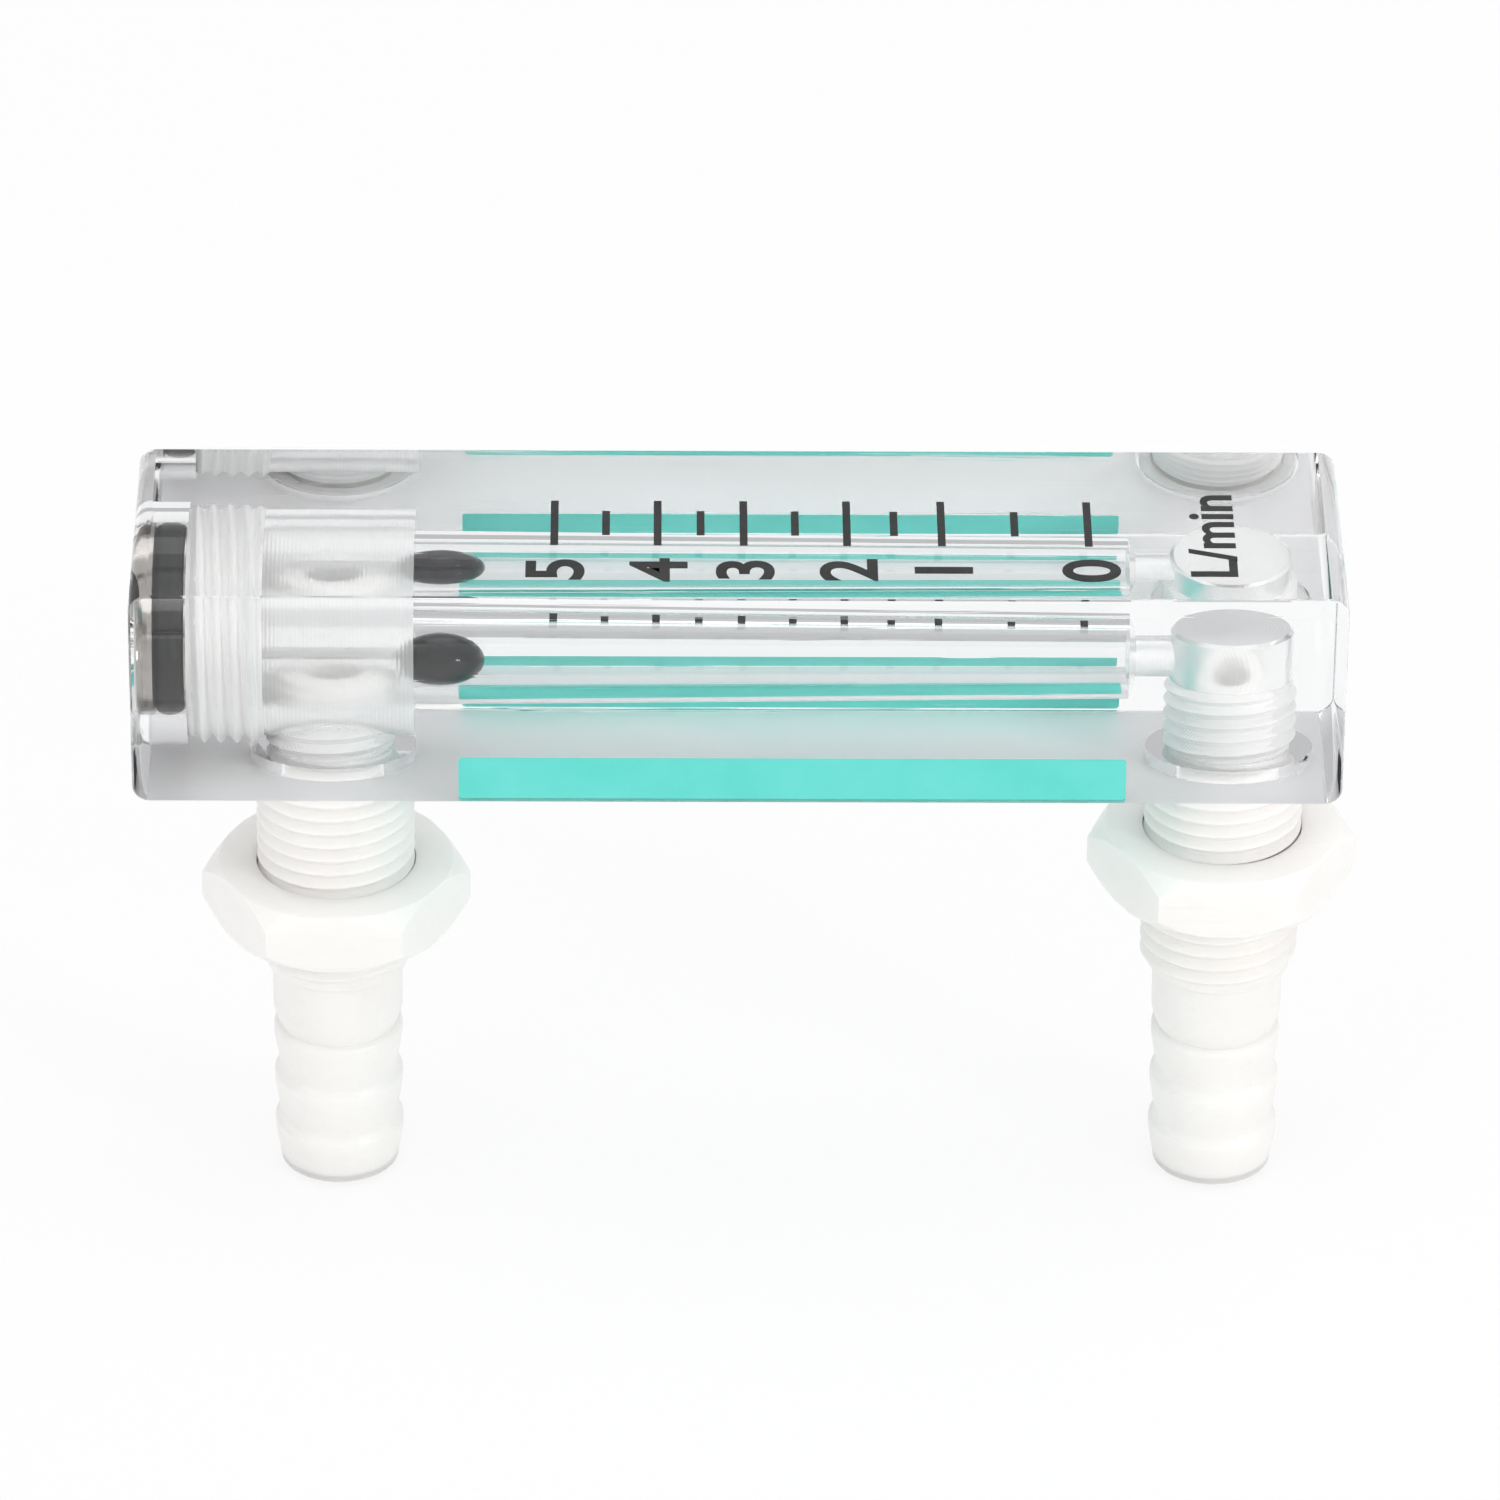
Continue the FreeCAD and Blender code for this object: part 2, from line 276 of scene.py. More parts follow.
class TurningMarks(Effect):
    """Fine rings left by a cutting tool round the metering tube's axis."""

    title = "Turning marks"
    inputs = {"Pitch": 0.0002, "Axis height": 0.010, "Unevenness": 0.4}
    outputs = ("Height",)

    @classmethod
    def fill(cls, writer: TreeWriter, start: bpy.types.Node, end: bpy.types.Node) -> None:
        """Ripple along the axis and outwards from it."""
        place = writer.node("ShaderNodeTexCoord").outputs["Object"]
        parts = writer.node("ShaderNodeSeparateXYZ", {0: place})
        across = parts.outputs["Y"]
        height = writer.math("SUBTRACT", parts.outputs["Z"], start.outputs["Axis height"])
        level = writer.math("MULTIPLY", height, height)
        outward = writer.math("SQRT", writer.math("ADD", level, writer.math("MULTIPLY", across, across)))
        reach = writer.math("ADD", outward, parts.outputs["X"])
        travel = writer.math("DIVIDE", reach, start.outputs["Pitch"])
        uneven = writer.noise(place, scale=900.0, detail=2.0)
        wobble = writer.math("MULTIPLY", uneven, start.outputs["Unevenness"])
        wave = writer.math("SINE", writer.math("MULTIPLY", writer.math("ADD", travel, wobble), FULL_TURN))
        writer.feed(end.inputs["Height"], writer.math("MULTIPLY_ADD", wave, 0.5, 0.5))


class Surface:
    """A material with one principled shader, and the ways in which a finish shapes it."""

    def __init__(self, name: str) -> None:
        """Make the material with its shader and output."""
        self.material = bpy.data.materials.new(name)
        self.material.use_nodes = True
        self.material.node_tree.nodes.clear()
        self.writer = TreeWriter(self.material.node_tree)
        self.shader = self.writer.node("ShaderNodeBsdfPrincipled")
        self.writer.node("ShaderNodeOutputMaterial", {"Surface": self.shader.outputs["BSDF"]})

    def set(self, **values: Value) -> None:
        """Give the shader plain values, by input name with spaces as underscores."""
        for name, value in values.items():
            self.shader.inputs[name.replace("_", " ")].default_value = value

    def paint(self, factor: bpy.types.NodeSocket, low: Colour, high: Colour) -> None:
        """Mix two colours into the base colour, by a factor."""
        self.writer.feed(self.shader.inputs["Base Color"], self.writer.mix(factor, low, high))

    def roughen(
        self,
        factor: bpy.types.NodeSocket,
        smoothest: float,
        roughest: float,
        low: float = 0.0,
        high: float = 1.0,
    ) -> None:
        """Let the roughness follow a factor.

        Args:
            factor: The socket that it follows.
            smoothest: Roughness where the factor is low.
            roughest: Roughness where the factor is high.
            low: The factor's lower end.
            high: The factor's upper end.
        """
        rough = self.writer.between(factor, low, high, smoothest, roughest)
        self.writer.feed(self.shader.inputs["Roughness"], rough)

    def emboss(self, height: bpy.types.NodeSocket, depth: float) -> None:
        """Feed a height, of that depth in metres, to the shader's normal."""
        bump = self.writer.node("ShaderNodeBump", {"Height": height, "Distance": depth, "Strength": 1.0})
        self.writer.feed(self.shader.inputs["Normal"], bump.outputs["Normal"])


@dataclass(frozen=True)
class Finish:
    """What every finish has: its name, and a way to build its material."""

    name: str

    def material(self) -> bpy.types.Material:
        """Build the material.

        Returns:
            The material.
        """
        surface = Surface(self.name)
        self.dress(surface)
        return surface.material

    def dress(self, surface: Surface) -> None:
        """Give the surface its colour, roughness and marks."""
        raise NotImplementedError


@dataclass(frozen=True)
class ClearFinish(Finish):
    """Clear acrylic or silicone: polished, drilled, tapped or milled."""

    tint: Colour
    ior: float
    smoothest: float
    roughest: float
    clear_share: float = 1.0
    scratch_depth: float = 0.0
    marks_depth: float = 0.0
    cloud_scale: float = 90.0
    paler: float = 1.01

    def dress(self, surface: Surface) -> None:
        """Let light through, with a haze and with tool marks or scratches."""
        surface.set(Transmission_Weight=self.clear_share, IOR=self.ior)
        haze = Mottle.place(surface.writer, Scale=self.cloud_scale, Detail=4.0)
        pale = tuple(min(1.0, part * self.paler) for part in self.tint)
        surface.paint(haze.outputs["Cloud"], self.tint, pale)
        surface.roughen(haze.outputs["Cloud"], self.smoothest, self.roughest)
        if self.marks_depth:
            marks = TurningMarks.place(surface.writer, Pitch=0.00035)
            surface.emboss(marks.outputs["Height"], self.marks_depth)
        elif self.scratch_depth:
            scratches = Scratches.place(surface.writer, Scale=45.0, Share=1.0)
            surface.emboss(scratches.outputs["Depth"], self.scratch_depth)


@dataclass(frozen=True)
class NylonFinish(Finish):
    """Natural white nylon, moulded, slightly see-through at its edges."""

    shade: Colour
    light: Colour
    smoothest: float
    roughest: float
    glow_depth: float
    glow_share: float = 0.45
    glow_reach: Colour = (1.0, 0.96, 0.9)
    ior: float = 1.53
    grain_depth: float = 0.00003

    def dress(self, surface: Surface) -> None:
        """Scatter light under a grained and lightly scratched skin."""
        cloud = Mottle.place(surface.writer, Scale=120.0, Detail=4.0)
        scratches = Scratches.place(surface.writer, Scale=70.0, Share=0.6)
        surface.set(IOR=self.ior, Subsurface_Weight=self.glow_share)
        surface.set(Subsurface_Radius=self.glow_reach, Subsurface_Scale=self.glow_depth)
        surface.paint(cloud.outputs["Cloud"], self.shade, self.light)
        surface.roughen(cloud.outputs["Grain"], self.smoothest, self.roughest, *NOISE_SPAN)
        height = surface.writer.math("SUBTRACT", cloud.outputs["Grain"], scratches.outputs["Depth"])
        surface.emboss(height, self.grain_depth)


@dataclass(frozen=True)
class MetalFinish(Finish):
    """Turned metal with tool rings, hair scratches and wiped patches."""

    dark: Colour
    bright: Colour
    smoothest: float
    roughest: float
    ring_pitch: float
    ring_depth: float = 0.000006

    def dress(self, surface: Surface) -> None:
        """Cut rings and scratches into the metal."""
        cloud = Mottle.place(surface.writer, Scale=260.0, Detail=5.0)
        marks = TurningMarks.place(surface.writer, Pitch=self.ring_pitch, Unevenness=0.25)
        scratches = Scratches.place(surface.writer, Scale=80.0, Share=0.8)
        surface.set(Metallic=1.0)
        surface.paint(cloud.outputs["Cloud"], self.dark, self.bright)
        surface.roughen(cloud.outputs["Cloud"], self.smoothest, self.roughest)
        height = surface.writer.math("SUBTRACT", marks.outputs["Height"], scratches.outputs["Depth"])
        surface.emboss(height, self.ring_depth)


@dataclass(frozen=True)
class DarkFinish(Finish):
    """Black rubber or the float's black plastic."""

    shade: Colour
    light: Colour
    smoothest: float
    roughest: float
    grain_depth: float
    gloss: float

    def dress(self, surface: Surface) -> None:
        """Grain and scratch the dark surface."""
        cloud = Mottle.place(surface.writer, Scale=420.0, Detail=4.0)
        scratches = Scratches.place(surface.writer, Scale=110.0, Share=0.5)
        surface.set(Specular_IOR_Level=self.gloss)
        surface.paint(cloud.outputs["Cloud"], self.shade, self.light)
        surface.roughen(cloud.outputs["Cloud"], self.smoothest, self.roughest)
        height = surface.writer.math("SUBTRACT", cloud.outputs["Grain"], scratches.outputs["Depth"])
        surface.emboss(height, self.grain_depth)


@dataclass(frozen=True)
class InkFinish(Finish):
    """Screen-printed ink, slightly uneven in thickness."""

    thin: Colour
    full: Colour
    smoothest: float
    roughest: float
    grain_depth: float = 0.00001

    def dress(self, surface: Surface) -> None:
        """Let the ink's colour and gloss vary a little."""
        cloud = Mottle.place(surface.writer, Scale=180.0, Detail=5.0)
        surface.paint(cloud.outputs["Cloud"], self.thin, self.full)
        surface.roughen(cloud.outputs["Grain"], self.smoothest, self.roughest, *NOISE_SPAN)
        surface.emboss(cloud.outputs["Grain"], self.grain_depth)


FINISHES = {
    finish.name: finish.material()
    for finish in (
        # The polished tint is partly the acrylic's own faint tint and partly painted shade: it greys the
        # clear block to stand in for the darker surroundings that it reflects.
        ClearFinish("Polished acrylic", (0.955, 0.96, 0.965), 1.49, 0.0, 0.012, scratch_depth=0.000002),
        ClearFinish("Drilled acrylic", (0.98, 0.98, 0.98), 1.49, 0.12, 0.22, 0.6, marks_depth=0.00001),
        ClearFinish("Tapped acrylic", (1.0, 0.995, 0.985), 1.49, 0.3, 0.45, 0.2, marks_depth=0.00001),
        ClearFinish("Milled acrylic", (0.92, 0.92, 0.93), 1.49, 0.35, 0.55, 0.3, scratch_depth=0.000006),
        ClearFinish("Clear silicone", (0.97, 0.97, 0.965), 1.41, 0.28, 0.42, 0.35, cloud_scale=300.0),
        NylonFinish("White nylon", (0.915, 0.89, 0.865), (0.945, 0.925, 0.9), 0.3, 0.44, 0.0016),
        MetalFinish("Nickel plate", (0.38, 0.355, 0.33), (0.5, 0.47, 0.44), 0.14, 0.28, 0.0004),
        MetalFinish("Drawn steel", (0.42, 0.42, 0.42), (0.56, 0.56, 0.56), 0.2, 0.34, 0.0003),
        DarkFinish("Black rubber", (0.003, 0.003, 0.003), (0.009, 0.009, 0.009), 0.42, 0.62, 0.00002, 0.25),
        DarkFinish("Float black", (0.001, 0.001, 0.002), (0.003, 0.003, 0.004), 0.08, 0.14, 0.000003, 0.3),
        InkFinish("Teal ink", (0.1, 0.67, 0.59), (0.14, 0.72, 0.65), 0.34, 0.52),
        InkFinish("Black ink", (0.012, 0.012, 0.012), (0.03, 0.03, 0.03), 0.37, 0.55),
    )
}


class GeometryTree:
    """A Geometry Nodes tree with named inputs, turned into a plain mesh."""

    title: ClassVar[str] = ""
    inputs: ClassVar[dict[str, str]] = {}

    @classmethod
    def tree(cls) -> bpy.types.NodeTree:
        """Build the tree the first time, and find it again after that.

        Returns:
            The geometry tree.
        """
        found = bpy.data.node_groups.get(cls.title)
        if found:
            return found
        tree = bpy.data.node_groups.new(cls.title, "GeometryNodeTree")
        tree.is_modifier = True
        tree.interface.new_socket("Geometry", in_out="INPUT", socket_type="NodeSocketGeometry")
        for name, kind in cls.inputs.items():
            tree.interface.new_socket(name, in_out="INPUT", socket_type="NodeSocket" + kind)
        tree.interface.new_socket("Geometry", in_out="OUTPUT", socket_type="NodeSocketGeometry")
        writer = TreeWriter(tree)
        start = writer.node("NodeGroupInput")
        made = cls.fill(writer, start)
        real = writer.node("GeometryNodeRealizeInstances", {"Geometry": made})
        feeds = {"Geometry": real.outputs[0], "Material": start.outputs["Material"]}
        dressed = writer.node("GeometryNodeSetMaterial", feeds)
        writer.node("NodeGroupOutput", {"Geometry": dressed.outputs[0]})
        return tree

    @classmethod
    def fill(cls, writer: TreeWriter, start: bpy.types.Node) -> bpy.types.NodeSocket:
        """Add the tree's own nodes.

        Args:
            writer: The tree's writer.
            start: The group's input node.

        Returns:
            The socket of the geometry that they make.
        """
        raise NotImplementedError

    @classmethod
    def mesh(cls, base: bpy.types.Mesh, **values: object) -> bpy.types.Mesh:
        """Run the tree on a base mesh.

        Args:
            base: The mesh that the modifier sits on.
            values: Input values, by name with spaces as underscores.

        Returns:
            The result as a plain mesh.
        """
        tree = cls.tree()
        carrier = linked("carrier", base)
        modifier = carrier.modifiers.new("Tree", "NODES")
        modifier.node_group = tree
        for item in tree.interface.items_tree:
            key = item.name.replace(" ", "_")
            if item.in_out == "INPUT" and key in values:
                modifier[item.identifier] = values[key]
        return settled(carrier)


class ThreadTree(GeometryTree):
    """A screw thread's surface, wound from one sheet, that runs out smoothly at both ends."""

    title = "Screw thread"
    inputs = {
        "Root radius": "Float",
        "Depth": "Float",
        "Pitch": "Float",
        "Length": "Float",
        "Run out": "Float",
        "Segments": "Int",
        "Material": "Material",
    }
    ACROSS: ClassVar[int] = 8
    FLANK: ClassVar[tuple[float, float]] = (0.15, 0.85)

    @classmethod
    def fill(cls, writer: TreeWriter, start: bpy.types.Node) -> bpy.types.NodeSocket:
        """Wind a sheet so that each turn's edge meets the next one's.

        Args:
            writer: The tree's writer.
            start: The group's input node.

        Returns:
            The wound and welded surface.
        """
        given = start.outputs
        length, pitch = given["Length"], given["Pitch"]
        turns = writer.math("ADD", writer.math("CEIL", writer.math("DIVIDE", length, pitch)), 1.0)
        steps = writer.math("MULTIPLY", turns, given["Segments"])
        columns = writer.math("ADD", steps, 1.0)
        feeds = {"Size X": 1.0, "Size Y": 1.0, "Vertices X": columns, "Vertices Y": cls.ACROSS + 1}
        sheet = writer.node("GeometryNodeMeshGrid", feeds)
        flat = writer.node("ShaderNodeSeparateXYZ", {0: writer.node("GeometryNodeInputPosition").outputs[0]})
        wound = writer.math("MULTIPLY", writer.math("ADD", flat.outputs["X"], 0.5), turns)
        across = writer.math("ADD", flat.outputs["Y"], 0.5)
        angle = writer.math("MULTIPLY", wound, FULL_TURN)
        free = writer.math("MULTIPLY", writer.math("ADD", writer.math("SUBTRACT", wound, 1.0), across), pitch)
        height = writer.math("MINIMUM", writer.math("MAXIMUM", free, 0.0), length)
        ridge = writer.math("ABSOLUTE", writer.math("MULTIPLY_ADD", across, 2.0, -1.0))
        profile = writer.between(ridge, *cls.FLANK)
        to_end = writer.math("MINIMUM", free, writer.math("SUBTRACT", length, free))
        fade = writer.math("DIVIDE", to_end, given["Run out"], clamp=True)
        rise = writer.math("MULTIPLY", writer.math("MULTIPLY", profile, fade), given["Depth"])
        radius = writer.math("ADD", given["Root radius"], rise)
        where = writer.node(
            "ShaderNodeCombineXYZ",
            {
                "X": writer.math("MULTIPLY", radius, writer.math("COSINE", angle)),
                "Y": writer.math("MULTIPLY", radius, writer.math("SINE", angle)),
                "Z": height,
            },
        )
        feeds = {"Geometry": sheet.outputs["Mesh"], "Position": where.outputs[0]}
        laid = writer.node("GeometryNodeSetPosition", feeds)
        closed = writer.node("GeometryNodeMergeByDistance", {"Geometry": laid.outputs[0], "Distance": WELD})
        return closed.outputs[0]


class TickTree(GeometryTree):
    """Printed scale marks: one thin bar on each given point, as long as the point says."""

    title = "Scale marks"
    inputs = {"Width": "Float", "Thickness": "Float", "Material": "Material"}

    @classmethod
    def fill(cls, writer: TreeWriter, start: bpy.types.Node) -> bpy.types.NodeSocket:
        """Put a bar on each point and stretch it to the point's reach.

        Args:
            writer: The tree's writer.
            start: The group's input node.

        Returns:
            The bars as instances.
        """
        sides = {"X": start.outputs["Width"], "Y": 1.0, "Z": start.outputs["Thickness"]}
        size = writer.node("ShaderNodeCombineXYZ", sides)
        feeds = {"Size": size.outputs[0], "Vertices X": 3, "Vertices Y": 9, "Vertices Z": 2}
        bar = writer.node("GeometryNodeMeshCube", feeds)
        reach = writer.node("GeometryNodeInputNamedAttribute", {"Name": "reach"}, data_type="FLOAT")
        scale = writer.node("ShaderNodeCombineXYZ", {"X": 1.0, "Y": reach.outputs[0], "Z": 1.0})
        points = start.outputs["Geometry"]
        feeds = {"Points": points, "Instance": bar.outputs["Mesh"], "Scale": scale.outputs[0]}
        return writer.node("GeometryNodeInstanceOnPoints", feeds).outputs[0]


def linked(name: str, data: bpy.types.ID) -> bpy.types.Object:
    """Make an object of some data, and link it to the scene."""
    made = bpy.data.objects.new(name, data)
    bpy.context.scene.collection.objects.link(made)
    return made


def settled(carrier: bpy.types.Object) -> bpy.types.Mesh:
    """Take an object's final shape as a plain mesh, and remove the object."""
    seen = carrier.evaluated_get(bpy.context.evaluated_depsgraph_get())
    made = bpy.data.meshes.new_from_object(seen)
    bpy.data.objects.remove(carrier)
    return made


def closed_off(build: bmesh.types.BMesh, name: str) -> bpy.types.Mesh:
    """Turn a finished bmesh into a mesh, and free it."""
    mesh = bpy.data.meshes.new(name)
    build.to_mesh(mesh)
    build.free()
    return mesh


def box_between(low: Sequence[float], high: Sequence[float]) -> bmesh.types.BMesh:
    """Start a bmesh as a box between two corners, given in millimetres."""
    build = bmesh.new()
    bmesh.ops.create_cube(build, size=1.0)
    for corner in build.verts:
        corner.co = Vector(a if part < 0 else b for part, a, b in zip(corner.co, low, high)) * MM
    return build


def rounded(build: bmesh.types.BMesh, edges: Sequence, radius: float, segments: int) -> None:
    """Round some edges of a bmesh to a radius in millimetres."""
    settings = {"segments": segments, "profile": 0.5, "affect": "EDGES", "clamp_overlap": False}
    bmesh.ops.bevel(build, geom=edges, offset=radius * MM, **settings)


def carved(blank: bpy.types.Mesh, cutters: Sequence[bpy.types.Mesh], slots: int = 0) -> bpy.types.Mesh:
    """Cut shapes out of a blank.

    Args:
        blank: The mesh to cut.
        cutters: Closed shapes to take away.
        slots: How many material slots they share.

    Returns:
        What is left of the blank.
    """
    for mesh in (blank, *cutters):
        while len(mesh.materials) < slots:
            mesh.materials.append(None)
    body = linked("blank", blank)
    tools = [linked("cutter", cutter) for cutter in cutters]
    for tool in tools:
        cut = body.modifiers.new("Cut", "BOOLEAN")
        cut.operation = "DIFFERENCE"
        cut.solver = "EXACT"
        cut.object = tool
    made = settled(body)
    for tool in tools:
        bpy.data.objects.remove(tool)
    return made


def bare_mesh(name: str, corners: Sequence = (), faces: Sequence = ()) -> bpy.types.Mesh:
    """Make a mesh from corners in metres and faces of corner numbers.

    Args:
        name: The mesh's name.
        corners: Places of its corners.
        faces: Corner numbers of each face.

    Returns:
        The mesh.
    """
    mesh = bpy.data.meshes.new(name)
    mesh.from_pydata(corners, [], faces)
    mesh.update()
    return mesh


def turned(outline: Outline, closed: bool = False) -> bpy.types.Mesh:
    """Turn an outline of radius and height, in millimetres, about Z.

    Args:
        outline: Its points. A radius of 0 gives a point on the axis.
        closed: Whether the last point joins the first.

    Returns:
        The turned surface, in metres.
    """
    corners, faces, loops = [], [], []
    for radius, height in outline:
        first = len(corners)
        if radius == 0:
            corners.append((0, 0, height * MM))
            loops.append([first] * ROUND)
            continue
        for step in range(ROUND):
            angle = FULL_TURN * step / ROUND
            corners.append((radius * MM * math.cos(angle), radius * MM * math.sin(angle), height * MM))
        loops.append(list(range(first, first + ROUND)))
    for lower, upper in zip(loops, loops[1:] + loops[:1] if closed else loops[1:]):
        for step in range(ROUND):
            following = (step + 1) % ROUND
            face = [lower[step], lower[following], upper[following], upper[step]]
            face = [corner for place, corner in enumerate(face) if corner not in face[:place]]
            if len(face) > 2:
                faces.append(face)
    return bare_mesh("turned", corners, faces)


def rings(radius: float, low: float, high: float, spacing: float = 0.6) -> list[tuple[float, float]]:
    """Draw a straight wall as closely spaced points, so that a bore can cross it cleanly.

    Args:
        radius: The wall's radius.
        low: Height of its first point.
        high: Height of its last point.
        spacing: Distance between points.

    Returns:
        Points of radius and height.
    """
    steps = math.ceil((high - low) / spacing)
    return [(radius, low + (high - low) * step / steps) for step in range(steps + 1)]


def thread(root: float, depth: float, pitch: float, length: float, run_out: float = 0.7) -> bpy.types.Mesh:
    """Make a thread surface that starts at height 0.

    Args:
        root: Radius of its root in millimetres.
        depth: How far its crest stands above the root.
        pitch: Travel of one turn.
        length: Length of the threaded stretch.
        run_out: Length over which it fades at each end.

    Returns:
        The thread's surface, in metres.
    """
    sizes = {"Root_radius": root, "Depth": depth, "Pitch": pitch, "Length": length, "Run_out": run_out}
    metres = {name: value * MM for name, value in sizes.items()}
    return ThreadTree.mesh(bare_mesh("thread"), Segments=ROUND, **metres)


def lifted(mesh: bpy.types.Mesh, height: float) -> bpy.types.Mesh:
    """Move a mesh up by a height in millimetres, and give it back."""
    mesh.transform(Matrix.Translation((0, 0, height * MM)))
    return mesh


def welded(
    parts: Sequence[bpy.types.Mesh], place: Matrix, slots: Optional[Sequence[int]] = None
) -> bpy.types.Mesh:
    """Join surfaces that meet edge to edge into one closed shell.

    Args:
        parts: The surfaces.
        place: Where the shell goes.
        slots: Material slot of each surface, if they differ.

    Returns:
        The shell, with its faces pointing outwards.
    """
    build = bmesh.new()
    for number, part in enumerate(parts):
        known = len(build.faces)
        build.from_mesh(part)
        build.faces.ensure_lookup_table()
        for face in build.faces[known:]:
            face.material_index = slots[number] if slots else 0
        bpy.data.meshes.remove(part)
    bmesh.ops.remove_doubles(build, verts=build.verts, dist=WELD)
    bmesh.ops.dissolve_degenerate(build, edges=build.edges, dist=WELD)
    bmesh.ops.recalc_face_normals(build, faces=build.faces)
    mesh = closed_off(build, "shell")
    mesh.transform(place)
    return mesh


def at(axis: Axis, x: float = 0.0, z: float = 0.0) -> Matrix:
    """Give the place of a turned piece whose own origin is at x and z, in millimetres."""
    return Matrix.Translation((x * MM, 0, z * MM)) @ axis.value


def smooth(mesh: bpy.types.Mesh, degrees: float = 32.0) -> None:
    """Shade a mesh smooth, with its sharp corners kept."""
    mesh.shade_smooth()
    mesh.set_sharp_from_angle(angle=math.radians(degrees))


def finish_piece(
    name: str,
    mesh: bpy.types.Mesh,
    materials: Sequence[str],
    body: str = "housing",
    replaces: Sequence[str] = (),
) -> bpy.types.Object:
    """Turn a finished mesh into a piece of the flowmeter.

    Args:
        name: The piece's name.
        mesh: Its mesh, already in place.
        materials: Names of its finishes, in slot order.
        body: The CAD body that it rides on.
        replaces: CAD nodes that it stands for.

    Returns:
        The piece.
    """
    mesh.name = name
    slots = [face.material_index if len(materials) > 1 else 0 for face in mesh.polygons]
    mesh.materials.clear()
    for material in materials:
        mesh.materials.append(FINISHES[material])
    mesh.polygons.foreach_set("material_index", slots)
    piece = linked(name, mesh)
    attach(piece, body)
    if replaces:
        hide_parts(*replaces)
    log.info("%s: %d faces", name, len(mesh.polygons))
    return piece


